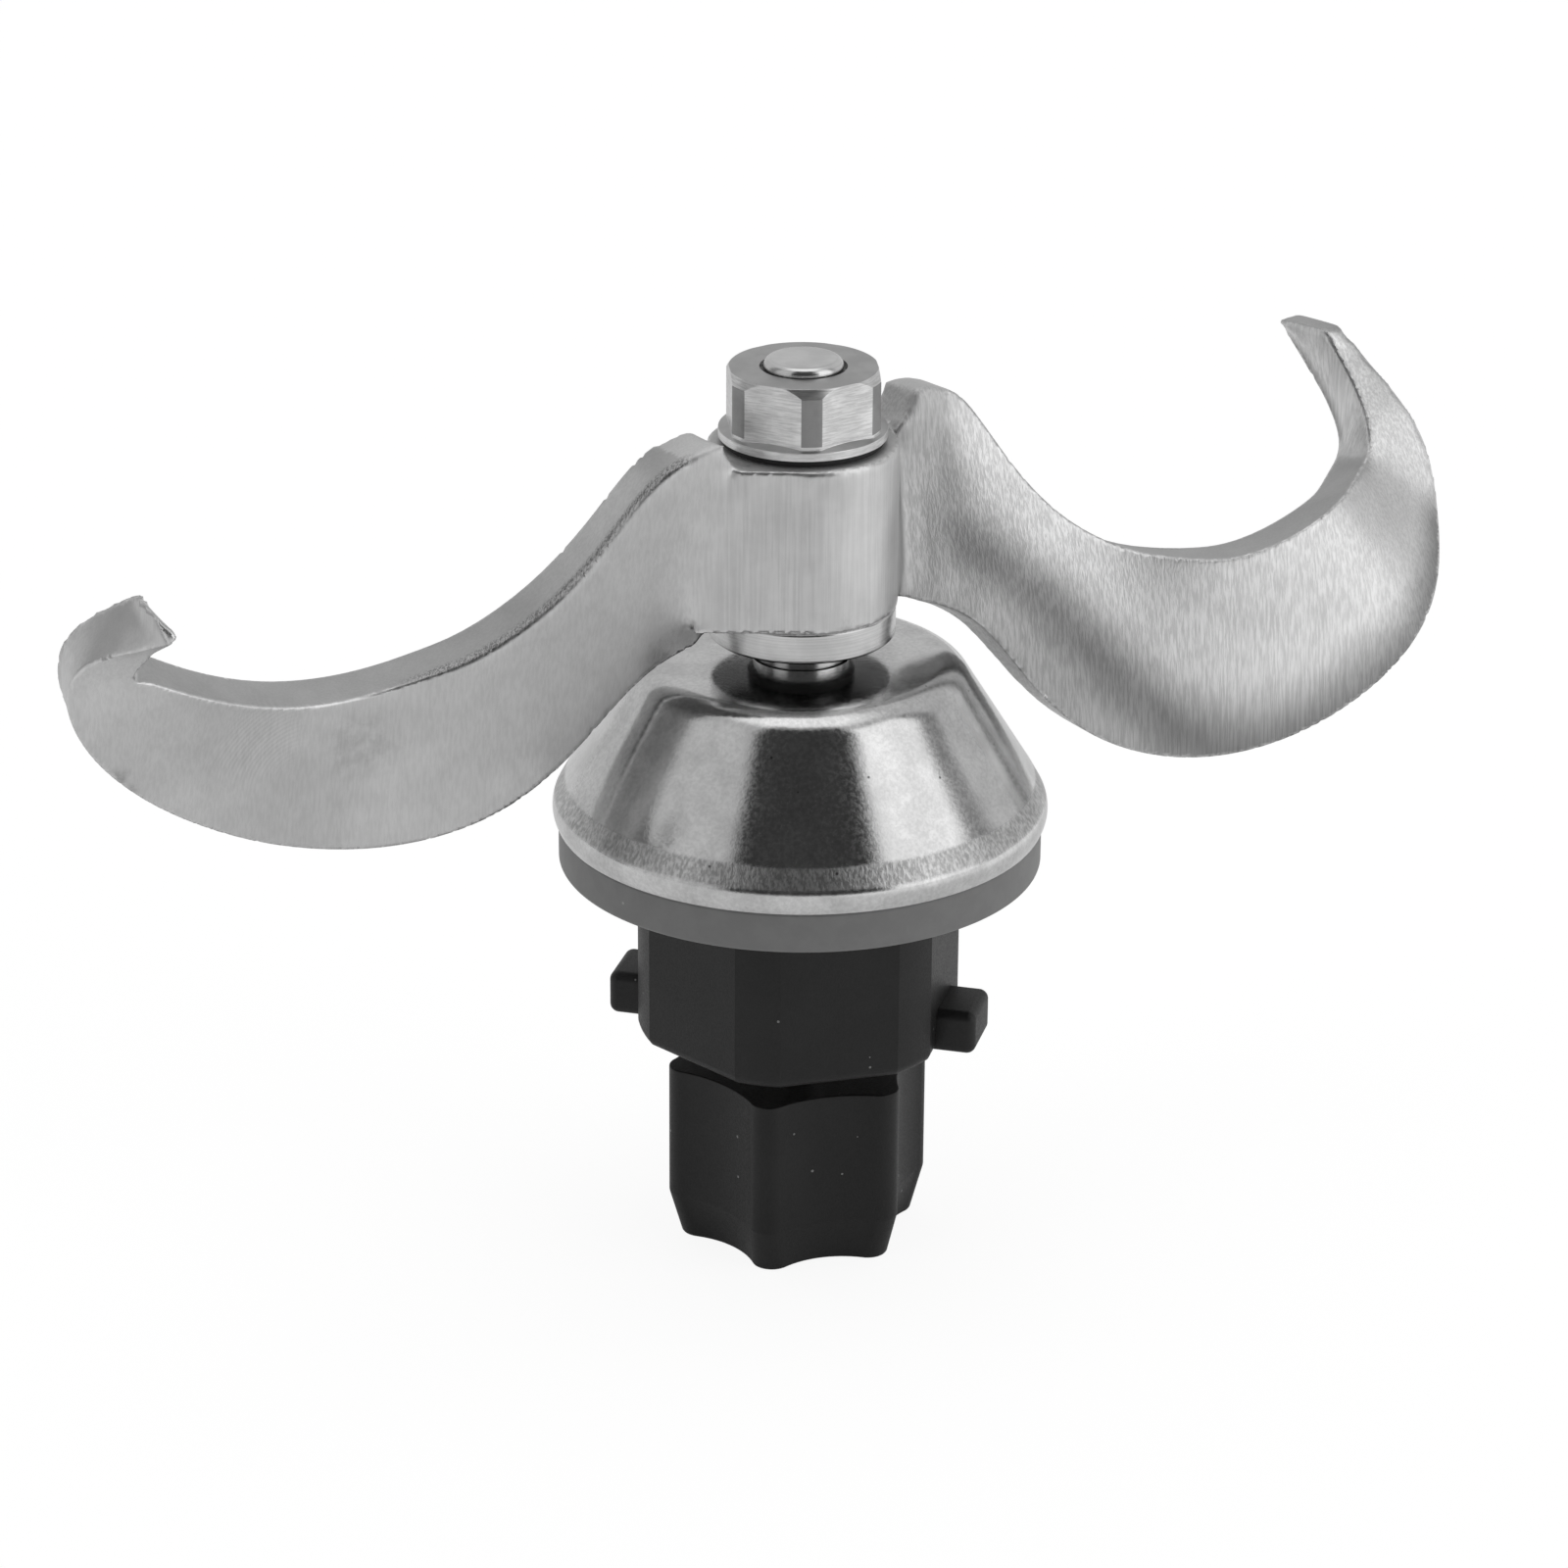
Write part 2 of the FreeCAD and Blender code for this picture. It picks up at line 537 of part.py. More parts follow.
def arm(stations):
    path = spline([Vector(x, y, ARM_Z + rise) for x, y, rise, depth, twist in stations])
    shape = spline([Vector(depth, twist, 0) for x, y, rise, depth, twist in stations])
    steps = [k / (ARM_STEPS - 1) for k in range(ARM_STEPS)]
    points = [path.value(s) for s in steps]
    tangents = [Vector(*path.tangent(s)[0]).normalize() for s in steps]
    ups = carried_frames(points, tangents)
    sections = []
    for s, point, tangent, up in zip(steps, points, tangents, ups):
        depth, twist = shape.value(s).x, math.radians(shape.value(s).y)
        tall = up * math.cos(twist) + tangent.cross(up) * math.sin(twist)
        wide = tangent.cross(tall)
        high, flat = tall * (depth / 2), wide * (ARM_THICK / 2)
        corners = [point + high + flat, point + high - flat, point - high - flat, point - high + flat]
        sections.append(Part.makePolygon(corners + corners[:1]))
    return Part.makeLoft(sections, True, False)


def root_web(stations):
    """Web that carries the arm's hollow face on to the hub, where it leaves at a tangent."""
    x, y = stations[1][0], stations[1][1]
    face = y + ARM_THICK / 2 - WEB_INSET
    return prism([(0, 0), (0, HUB_R), (x - WEB_SHY, face), (x - WEB_SHY, y)], HUB_Z, GASKET_Z)


def ground_arm(stations, tip_rise):
    """An arm with its web, its tip cut off level."""
    corner = Vector(SHOULDER_CLEAR_R * 2, 0, ARM_Z + tip_rise)
    over_tip = Part.makeBox(ARM_BOUND, ARM_BOUND, ARM_BOUND, corner)
    return arm(stations).cut(over_tip).fuse(root_web(stations))


def left_tip_cut():
    """What is ground off the left tip, so that its end slants."""
    block = Part.makeBox(ARM_BOUND, ARM_BOUND, ARM_BOUND, Vector(-ARM_BOUND, -TIP_DEPTH, 0))
    block.rotate(Vector(), Vector(0, 1, 0), -LEFT_TIP_SLANT)
    block.rotate(Vector(), X, LEFT_TIP_LEAN)
    block.translate(Vector(LEFT_TIP_OUT, LEFT_TIP_ASIDE, ARM_Z + LEFT_TIP_RISE))
    return block


def blade_casting():
    hub = disc(HUB_R, HUB_Z, GASKET_Z)
    hub = hub.makeChamfer(HUB_CHAMFER, edges_at(hub, GASKET_Z))
    left = ground_arm(LEFT_ARM, LEFT_TIP_RISE).cut(left_tip_cut())
    left.rotate(Vector(), Z, 180)
    blade = hub.fuse([left, ground_arm(RIGHT_ARM, RIGHT_TIP_RISE)])
    blade = blade.cut(disc(SPINDLE_R + PRESS, HUB_Z - PAST, GASKET_Z + PAST))
    seat = disc(SHOULDER_CLEAR_R, GASKET_Z, STUD_TOP_Z)
    blade = blade.cut(seat.makeFillet(SHOULDER_ROUND, edges_at(seat, GASKET_Z)))
    foot = disc(FOOT_CLEAR_R, RIM_Z, HUB_Z)
    blade = blade.cut(foot.makeFillet(FOOT_ROUND, edges_at(foot, HUB_Z)))
    blade.rotate(Vector(), Z, BLADE_TURN)
    return blade


def solid_of(shape):
    """The shape as it is, or its one solid where a cut left it in a compound."""
    return shape.Solids[0] if len(shape.Solids) == 1 else shape


PIECES = {
    "blade_casting": blade_casting(),
    "flange_nut": flange_nut(),
    "nut_gasket": nut_gasket(),
    "spindle_shaft": spindle_shaft(),
    "hub_collar": hub_collar(),
    "collar_o_ring": collar_o_ring(),
    "dome_cover": dome_cover(),
    "bowl_seal_ring": bowl_seal_ring(),
    "lock_body": lock_body(),
    "cover_o_ring": cover_o_ring(),
    "shaft_seal_case": shaft_seal_case(),
    "shaft_seal_lip": shaft_seal_lip(),
    "seal_garter_spring": seal_garter_spring(),
    "upper_outer_ring": outer_ring(UPPER_Z),
    "upper_inner_ring": inner_ring(UPPER_Z),
    "upper_balls": balls(UPPER_Z),
    "upper_cage": cage(UPPER_Z),
    "lower_outer_ring": outer_ring(LOWER_Z),
    "lower_inner_ring": inner_ring(LOWER_Z),
    "lower_balls": balls(LOWER_Z),
    "lower_cage": cage(LOWER_Z),
    "inner_spacer": inner_spacer(),
    "outer_spacer": outer_spacer(),
    "bearing_clip": bearing_clip(),
    "shaft_clip": shaft_clip(),
    "drive_coupling": drive_coupling(),
    "coupling_pin": coupling_pin(),
    "coupling_washer": coupling_washer(),
    "coupling_screw": coupling_screw(),
}

os.makedirs("parts", exist_ok=True)
for name, shape in PIECES.items():
    piece = solid_of(shape)
    piece.exportStep("parts/" + name + ".step")
    box = piece.BoundBox
    print(name, len(piece.Solids), piece.isValid(), round(piece.Volume, 1),
          [round(v, 2) for v in (box.XMin, box.XMax, box.YMin, box.YMax, box.ZMin, box.ZMax)])
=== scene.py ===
import json
import math

import bmesh
import bpy
import numpy as np
from mathutils import Matrix, Vector
from mathutils.bvhtree import BVHTree
from mathutils.kdtree import KDTree


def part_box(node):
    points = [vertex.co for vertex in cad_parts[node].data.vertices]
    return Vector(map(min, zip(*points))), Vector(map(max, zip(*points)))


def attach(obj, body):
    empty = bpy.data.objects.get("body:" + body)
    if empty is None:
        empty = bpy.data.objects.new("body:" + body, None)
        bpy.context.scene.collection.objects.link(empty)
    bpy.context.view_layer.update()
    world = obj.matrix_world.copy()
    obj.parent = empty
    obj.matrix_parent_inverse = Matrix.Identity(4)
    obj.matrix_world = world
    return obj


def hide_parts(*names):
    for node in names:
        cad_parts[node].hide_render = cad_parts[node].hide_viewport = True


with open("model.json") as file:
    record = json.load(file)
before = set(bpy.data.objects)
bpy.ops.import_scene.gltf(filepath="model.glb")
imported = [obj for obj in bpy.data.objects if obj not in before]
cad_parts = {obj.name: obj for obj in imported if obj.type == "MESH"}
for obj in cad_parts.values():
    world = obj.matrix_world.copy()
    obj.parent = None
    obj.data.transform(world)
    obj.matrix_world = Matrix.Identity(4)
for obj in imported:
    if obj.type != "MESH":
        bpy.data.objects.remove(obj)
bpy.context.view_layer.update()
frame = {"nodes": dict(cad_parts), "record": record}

# Looks of a food processor blade on its bearing housing. Lengths are metres.
MM = 0.001

# Camera, worked out from the round rims in the photograph
VIEW_AZIMUTH = 14.5
VIEW_ELEVATION = 22.9
VIEW_DISTANCE = 507 * MM
VIEW_TARGET_HEIGHT = 45.7 * MM
VIEW_ASIDE = -1.52 * MM
VIEW_ROLL = 0.4
LENS = 123.75
SENSOR = 36.0

# Blade's skin
BLADE_TURN = 14.5          # degrees from the lugs' line to the arms' own line
SKIN_STEP = 0.34 * MM      # size of the skin's faces
HUB_R = 8.9 * MM
BLEND_R = 15 * MM          # corners nearer than this to the axis are blended away
BLEND_SHY = 0.8 * MM       # except this near to the hub's foot and top
SHOULDER_R = 15 * MM       # so are the corners nearer than this that stand over the hub
SHOULDER_ROUNDS = 5        # rounds of smoothing there
TIP_R = 45 * MM            # tips: this far out and this high
TIP_Z = 78.6 * MM
TIP_ROUNDS = 8             # rounds of smoothing there
HUB_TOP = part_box("nut_gasket")[0].z
HUB_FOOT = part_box("hub_collar")[1].z

# Marks on the left arm: a smudge, a scuff, the middle of the cutter's arcs and where they show
SMUDGE = (-34.4 * MM, -26.6 * MM, 56.5 * MM)
SCUFF = (-50.9 * MM, -44.7 * MM, 57.3 * MM)
ARCS = (-38.4 * MM, -31.1 * MM, 54.0 * MM)
ARCS_SEEN = (-41.2 * MM, -34.8 * MM, 59.0 * MM)
ARCS_PITCH = 0.45 * MM
TICKS_PITCH = 0.42 * MM    # marks of the wheel in the ground band

# Softening of the blade's corners and edges
CREASE_SPREAD = 9          # steps that a soft inner corner reaches to either side
CREASE_SOFTER = 4          # rounds that fade its border
SHADE_LINE_STEPS = 2           # steps that its line of painted shade reaches
CREASE_ROUNDS = 130        # rounds of smoothing there
CREASE_R = 17 * MM         # inner corners are soft this far from the axis
EDGE_ROUNDS = 3            # rounds of smoothing over all of the skin
EDGE_DRAWN_IN = 0.05 * MM  # then the sharp edges go in by this much
EDGE_WIDTH = 0.3 * MM      # worn line along an outer edge
BEVEL_WIDTH = 0.45 * MM    # small bevel along the hollow face's upper edge, to each side of it
GROUND_WIDTH = 1.3 * MM    # rough ground band over it
GROUND_INNER_R = 13 * MM   # it runs between these distances from the axis
GROUND_OUTER_R = 42 * MM
BULGE = 0.3 * MM           # the outer faces are this much fuller at mid-height

# Turned pieces
TURN_STEPS = 240
CORNER_ROUND = 0.08 * MM   # broken corners of turned pieces
SAME_POINT = 0.002 * MM    # points of a CAD mesh nearer than this are one

# Nut and dome, over their own feet
FLATS_RISE = 1.25 * MM     # the nut's milled flats begin here
CORNER_R = 7.36 * MM       # beyond this the nut is turned, not milled
BAND_FOOT_RISE = 2.4 * MM  # scuffed band round the dome
BAND_TOP_RISE = 4.3 * MM
BAND_SOFT = 0.2 * MM

# Tent round the object, in degrees: azimuth from the camera's side, positive to its right, then height.
# Each panel: low and high azimuth, foot and top height, softness of its edges, light added.
TENT_LEVEL = 0.6
TENT_PANELS = [
    (-35, 40, 2, 72, 5, -0.55),
    (-110, -84, -2, 48, 5, -0.32),
    (43, 88, -18, 52, 5, 0.62),
    (91, 103, 8, 50, 4, -0.3),
    (-200, 200, 66, 95, 8, 0.6),
]
FLOOR_R = 3.0
FLOOR_WHITE = 0.82         # share of plain white in what the camera sees of the floor
FLOOR_SHINE = 0.2          # and in what metal shows of it, near by
FLOOR_SIDE_SHINE = 0.68    # and out to the camera's right


def node(tree, kind, values=None, **settings):
    """New node with its settings, and its inputs linked or set."""
    made = tree.nodes.new(kind)
    for name, value in settings.items():
        setattr(made, name, value)
    for name, value in (values or {}).items():
        if isinstance(value, bpy.types.NodeSocket):
            tree.links.new(value, made.inputs[name])
        else:
            made.inputs[name].default_value = value
    return made


def maths(tree, operation, *values):
    return node(tree, "ShaderNodeMath", dict(enumerate(values)), operation=operation).outputs[0]


def ramp(tree, value, low, high, to_low=0.0, to_high=1.0):
    """Value eased from one range to another and held at its ends."""
    made = node(tree, "ShaderNodeMapRange", {
        "Value": value, "From Min": low, "From Max": high, "To Min": to_low, "To Max": to_high,
    }, interpolation_type="SMOOTHSTEP")
    return made.outputs["Result"]


def place(tree):
    return node(tree, "ShaderNodeTexCoord").outputs["Object"]


def group_of(name, inputs, outputs):
    """Empty shader group with its sockets, and its input and output nodes."""
    tree = bpy.data.node_groups.new(name, "ShaderNodeTree")
    for label, kind, value in inputs:
        socket = tree.interface.new_socket(label, in_out="INPUT", socket_type="NodeSocket" + kind)
        socket.default_value = value
    for label, kind in outputs:
        tree.interface.new_socket(label, in_out="OUTPUT", socket_type="NodeSocket" + kind)
    return tree, tree.nodes.new("NodeGroupInput").outputs, tree.nodes.new("NodeGroupOutput").inputs


def grain_group():
    """Fine lines left by a belt, wheel or lathe: long one way and narrow the other."""
    tree, given, made = group_of(
        "Drawn grain",
        [("Pitch", "Vector", (5000, 5000, 200)), ("Depth", "Float", 0.3)],
        [("Grain", "Float"), ("Normal", "Vector")])
    stretched = node(tree, "ShaderNodeVectorMath", {
        0: place(tree), 1: given["Pitch"]}, operation="MULTIPLY")
    lines = node(tree, "ShaderNodeTexNoise", {
        "Vector": stretched.outputs[0], "Scale": 1.0, "Detail": 3.0, "Roughness": 0.65})
    clear = ramp(tree, lines.outputs["Fac"], 0.36, 0.64)
    bump = node(tree, "ShaderNodeBump", {"Height": clear, "Strength": given["Depth"], "Distance": 0.02 * MM})
    tree.links.new(clear, made["Grain"])
    tree.links.new(bump.outputs[0], made["Normal"])
    return tree


def speck_group():
    """Small scattered specks, such as dust, pits or pale dots in a moulding."""
    tree, given, made = group_of(
        "Specks", [("Per metre", "Float", 900.0), ("Size", "Float", 0.1), ("Share", "Float", 0.2)],
        [("Mask", "Float")])
    cells = node(tree, "ShaderNodeTexVoronoi", {"Vector": place(tree), "Scale": given["Per metre"]})
    spot = maths(tree, "LESS_THAN", cells.outputs["Distance"], given["Size"])
    draw = node(tree, "ShaderNodeSeparateColor", {"Color": cells.outputs["Color"]})
    chosen = maths(tree, "LESS_THAN", draw.outputs["Red"], given["Share"])
    tree.links.new(maths(tree, "MULTIPLY", spot, chosen), made["Mask"])
    return tree


def cloud_group():
    """Soft uneven patches, as handling and polishing leave them."""
    tree, given, made = group_of(
        "Clouds", [("Per metre", "Float", 120.0), ("Low", "Float", 0.9), ("High", "Float", 1.0)],
        [("Value", "Float")])
    soft = node(tree, "ShaderNodeTexNoise", {
        "Vector": place(tree), "Scale": given["Per metre"], "Detail": 4.0, "Roughness": 0.6})
    tree.links.new(ramp(tree, soft.outputs["Fac"], 0.35, 0.65, given["Low"], given["High"]), made["Value"])
    return tree


GRAIN = grain_group()
SPECKS = speck_group()
CLOUDS = cloud_group()


def use(tree, group, **values):
    """One use of a shared effect in a material."""
    made = tree.nodes.new("ShaderNodeGroup")
    made.node_tree = group
    for name, value in values.items():
        socket = made.inputs[name.replace("_", " ")]
        if isinstance(value, bpy.types.NodeSocket):
            tree.links.new(value, socket)
        else:
            socket.default_value = value
    return made.outputs


def material(name, **constants):
    """Principled material with plain values on its own sockets; returns it with its tree and shader."""
    made = bpy.data.materials.new(name)
    made.use_nodes = True
    tree = made.node_tree
    shader = tree.nodes["Principled BSDF"]
    for label, value in constants.items():
        shader.inputs[label.replace("_", " ")].default_value = value
    return made, tree, shader


def grey(tree, value):
    """Grey colour from a value."""
    return node(tree, "ShaderNodeCombineColor", {"Red": value, "Green": value, "Blue": value}).outputs[0]


def radius_here(tree):
    """Distance from the spindle's axis."""
    flat = node(tree, "ShaderNodeVectorMath", {0: place(tree), 1: (1, 1, 0)}, operation="MULTIPLY")
    return node(tree, "ShaderNodeVectorMath", {0: flat.outputs[0]}, operation="LENGTH").outputs["Value"]


def height_here(tree):
    return node(tree, "ShaderNodeSeparateXYZ", {0: place(tree)}).outputs["Z"]


def facing_up(tree):
    normal = node(tree, "ShaderNodeNewGeometry").outputs["Normal"]
    return node(tree, "ShaderNodeSeparateXYZ", {0: normal}).outputs["Z"]


def attribute(tree, name):
    return node(tree, "ShaderNodeAttribute", attribute_name=name).outputs["Fac"]


def mix(tree, share, low, high):
    """Value between low and high."""
    return node(tree, "ShaderNodeMix", {0: share, 2: low, 3: high}, data_type="FLOAT").outputs[0]


def blot(tree, spot, size):
    """Share of a soft round patch about a spot, and the distance from it."""
    gap = node(tree, "ShaderNodeVectorMath", {0: place(tree), 1: spot}, operation="DISTANCE")
    away = gap.outputs["Value"]
    return ramp(tree, away, size, 0.3 * size), away


def handled(tree, tone):
    """Tone with a smudge, a scuff and faint cutter arcs on the left arm's face."""
    patchy = use(tree, CLOUDS, Per_metre=700.0, Low=0.0, High=1.0)["Value"]
    for spot, size, depth in ((SMUDGE, 5 * MM, 0.14), (SCUFF, 3 * MM, 0.5)):
        share = maths(tree, "MULTIPLY", blot(tree, spot, size)[0], patchy)
        tone = maths(tree, "MULTIPLY", tone, mix(tree, share, 1.0, 1 - depth))
    away = blot(tree, ARCS, 1 * MM)[1]
    wave = maths(tree, "SINE", maths(tree, "MULTIPLY", away, 2 * math.pi / ARCS_PITCH))
    wave = maths(tree, "MULTIPLY", maths(tree, "MULTIPLY", wave, blot(tree, ARCS_SEEN, 6 * MM)[0]), 0.05)
    return maths(tree, "MULTIPLY", tone, maths(tree, "ADD", wave, 1.0))


def blade_steel():
    """Satin cast steel: belt grain up and down, matte where milled, dark where ground, bright on edges; painted
    dark reflection on the outer faces and painted shade in the inner corners by the hub.
    """
    made, tree, shader = material("blade_steel", Metallic=1.0)
    outer = attribute(tree, "outer")
    grain = use(tree, GRAIN, Pitch=(4200, 4200, 110), Depth=mix(tree, outer, 0.1, 0.45))
    clouds = use(tree, CLOUDS, Per_metre=80.0, Low=0.92, High=1.03)["Value"]
    stains = use(tree, CLOUDS, Per_metre=420.0, Low=0.96, High=1.0)["Value"]
    breaks = use(tree, CLOUDS, Per_metre=1300.0, Low=0.15, High=1.0)["Value"]
    level = ramp(tree, facing_up(tree), 0.55, 0.8)
    tone = mix(tree, outer, 0.68, 0.84)
    # Painted dark reflection band and painted shade by the hub, darkening the outer faces
    tone = mix(tree, attribute(tree, "painted_dark_reflection"), tone, 0.3)
    tone = mix(tree, level, tone, 0.54)
    milled = attribute(tree, "milled")
    tone = mix(tree, milled, tone, 0.7)
    # Painted shade: darker tone along the inner corners by the hub
    tone = maths(tree, "MULTIPLY", tone, mix(tree, attribute(tree, "corner"), 1.0, 0.6))
    streaks = mix(tree, grain["Grain"], mix(tree, outer, 0.96, 0.84), 1.03)
    for share in (streaks, clouds, stains):
        tone = maths(tree, "MULTIPLY", tone, share)
    tone = handled(tree, tone)
    across = node(tree, "ShaderNodeSeparateXYZ", {0: place(tree)}).outputs["X"]
    waver = maths(tree, "MULTIPLY", grain["Grain"], 5.0)
    ticks = maths(tree, "MULTIPLY_ADD", across, 2 * math.pi / TICKS_PITCH, waver)
    ticks = ramp(tree, maths(tree, "SINE", ticks), -0.8, 0.6)
    tone = mix(tree, attribute(tree, "ground"), tone, mix(tree, ticks, 0.26, 0.56))
    edge = maths(tree, "MULTIPLY", attribute(tree, "edge"), breaks)
    tone = mix(tree, edge, tone, 0.8)
    rough = mix(tree, grain["Grain"], 0.42, 0.32)
    rough = mix(tree, maths(tree, "MAXIMUM", level, milled), rough, 0.55)
    tree.links.new(grey(tree, tone), shader.inputs["Base Color"])
    tree.links.new(mix(tree, edge, rough, 0.3), shader.inputs["Roughness"])
    tree.links.new(grain["Normal"], shader.inputs["Normal"])
    return made


def nut_steel(flats_foot):
    """Nut: bright milled flats with level lines, matte turned corners, top and flange."""
    made, tree, shader = material("nut_steel", Metallic=1.0)
    grain = use(tree, GRAIN, Pitch=(500, 500, 6500), Depth=0.25)
    clouds = use(tree, CLOUDS, Per_metre=300.0, Low=0.85, High=1.0)["Value"]
    corner = maths(tree, "GREATER_THAN", radius_here(tree), CORNER_R)
    above = maths(tree, "GREATER_THAN", height_here(tree), flats_foot)
    strip = maths(tree, "MULTIPLY", corner, above)
    flat = mix(tree, grain["Grain"], 0.64, 0.84)
    tone = mix(tree, strip, flat, 0.36)
    tone = mix(tree, ramp(tree, facing_up(tree), 0.6, 0.9), tone, 0.46)
    tree.links.new(grey(tree, maths(tree, "MULTIPLY", tone, clouds)), shader.inputs["Base Color"])
    tree.links.new(mix(tree, strip, 0.3, 0.55), shader.inputs["Roughness"])
    tree.links.new(grain["Normal"], shader.inputs["Normal"])
    return made


def turned_steel():
    """Bright steel off the lathe, with fine rings round the axis and painted shade on its undersides."""
    made, tree, shader = material("turned_steel", Metallic=1.0)
    grain = use(tree, GRAIN, Pitch=(60, 60, 9000), Depth=0.12)
    clouds = use(tree, CLOUDS, Per_metre=200.0, Low=0.85, High=1.0)["Value"]
    tone = maths(tree, "MULTIPLY", mix(tree, grain["Grain"], 0.66, 0.76), clouds)
    # Painted shade: faces that look down get a dark tone
    tone = mix(tree, ramp(tree, facing_up(tree), -0.6, -0.9), tone, 0.16)
    tree.links.new(grey(tree, tone), shader.inputs["Base Color"])
    tree.links.new(mix(tree, grain["Grain"], 0.16, 0.24), shader.inputs["Roughness"])
    tree.links.new(grain["Normal"], shader.inputs["Normal"])
    return made


def cover_steel(band_foot, band_top):
    """Polished drawn cover with a faint orange peel and a scuffed band over its rim."""
    made, tree, shader = material("cover_steel", Metallic=1.0)
    scuffs = use(tree, GRAIN, Pitch=(3400, 3400, 40), Depth=0.5)
    pits = use(tree, GRAIN, Pitch=(2600, 2600, 2600), Depth=0.09)
    height = height_here(tree)
    band = maths(tree, "MULTIPLY", ramp(tree, height, band_foot - BAND_SOFT, band_foot + BAND_SOFT),
                 ramp(tree, height, band_top + BAND_SOFT, band_top - BAND_SOFT))
    clouds = use(tree, CLOUDS, Per_metre=260.0, Low=0.84, High=1.0)["Value"]
    tone = maths(tree, "MULTIPLY", mix(tree, pits["Grain"], 0.64, 0.74), clouds)
    specks = use(tree, SPECKS, Per_metre=700.0, Size=0.09, Share=0.16)["Mask"]
    tone = mix(tree, specks, tone, 0.2)
    scuffed = mix(tree, scuffs["Grain"], 0.62, 1.02)
    tone = maths(tree, "MULTIPLY", tone, mix(tree, band, 1.0, scuffed))
    tree.links.new(grey(tree, tone), shader.inputs["Base Color"])
    rough = mix(tree, pits["Grain"], 0.1, 0.17)
    tree.links.new(mix(tree, band, rough, 0.34), shader.inputs["Roughness"])
    blend = node(tree, "ShaderNodeMix", {
        0: band, 4: pits["Normal"], 5: scuffs["Normal"]}, data_type="VECTOR")
    tree.links.new(blend.outputs[1], shader.inputs["Normal"])
    return made


def seal_silicone():
    """Matte grey silicone with a few specks of dust."""
    made, tree, shader = material("seal_silicone", Roughness=0.5)
    clouds = use(tree, CLOUDS, Per_metre=500.0, Low=0.92, High=1.0)["Value"]
    dust = use(tree, SPECKS, Per_metre=420.0, Size=0.07, Share=0.12)["Mask"]
    tone = mix(tree, dust, maths(tree, "MULTIPLY", clouds, 0.25), 0.4)
    tree.links.new(grey(tree, tone), shader.inputs["Base Color"])
    skin = use(tree, GRAIN, Pitch=(3000, 3000, 3000), Depth=0.05)
    tree.links.new(skin["Normal"], shader.inputs["Normal"])
    return made


def black_moulding(name, tone, rough):
    """Near-black moulded plastic with a fine texture and pale specks."""
    made, tree, shader = material(name, IOR=1.45)
    texture = use(tree, GRAIN, Pitch=(5200, 5200, 5200), Depth=0.25)
    specks = use(tree, SPECKS, Per_metre=520.0, Size=0.07, Share=0.4)["Mask"]
    clouds = use(tree, CLOUDS, Per_metre=150.0, Low=0.75, High=1.2)["Value"]
    shade = mix(tree, specks, maths(tree, "MULTIPLY", clouds, tone), 0.24)
    tree.links.new(grey(tree, shade), shader.inputs["Base Color"])
    tree.links.new(mix(tree, texture["Grain"], rough, rough + 0.12), shader.inputs["Roughness"])
    tree.links.new(texture["Normal"], shader.inputs["Normal"])
    return made


def plain(name, tone, rough, metallic=0.0, tint=(1, 1, 1)):
    """Finish of a hidden piece: a slightly uneven tone and fine marks."""
    made, tree, shader = material(name, Metallic=metallic)
    marks = use(tree, GRAIN, Pitch=(2500, 2500, 2500), Depth=0.08)
    clouds = use(tree, CLOUDS, Per_metre=300.0, Low=0.85 * tone, High=tone)["Value"]
    coloured = node(tree, "ShaderNodeVectorMath", {
        0: grey(tree, clouds), 1: tint}, operation="MULTIPLY")
    tree.links.new(coloured.outputs[0], shader.inputs["Base Color"])
    tree.links.new(mix(tree, marks["Grain"], rough, rough + 0.1), shader.inputs["Roughness"])
    tree.links.new(marks["Normal"], shader.inputs["Normal"])
    return made


def merged_copy(name, source):
    """New piece with a CAD node's mesh, its doubled points merged."""
    work = bmesh.new()
    work.from_mesh(frame["nodes"][source].data)
    bmesh.ops.remove_doubles(work, verts=work.verts, dist=SAME_POINT)
    mesh = bpy.data.meshes.new(name)
    work.to_mesh(mesh)
    work.free()
    if "custom_normal" in mesh.attributes:
        mesh.attributes.remove(mesh.attributes["custom_normal"])
    piece = bpy.data.objects.new(name, mesh)
    bpy.context.scene.collection.objects.link(piece)
    return piece


def settle(piece):
    """Works the piece's modifiers into a plain mesh."""
    graph = bpy.context.evaluated_depsgraph_get()
    mesh = bpy.data.meshes.new_from_object(piece.evaluated_get(graph))
    piece.modifiers.clear()
    piece.data = mesh


def stand_for(piece, source, body, finish):
    """Shows the piece in the CAD node's place, with its finish."""
    piece.data.materials.clear()
    piece.data.materials.append(finish)
    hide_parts(source)
    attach(piece, body)


def slot_of(source):
    found = [row["material_slot"] for row in frame["record"]["subparts"] if row["node"] == source]
    return found[0]


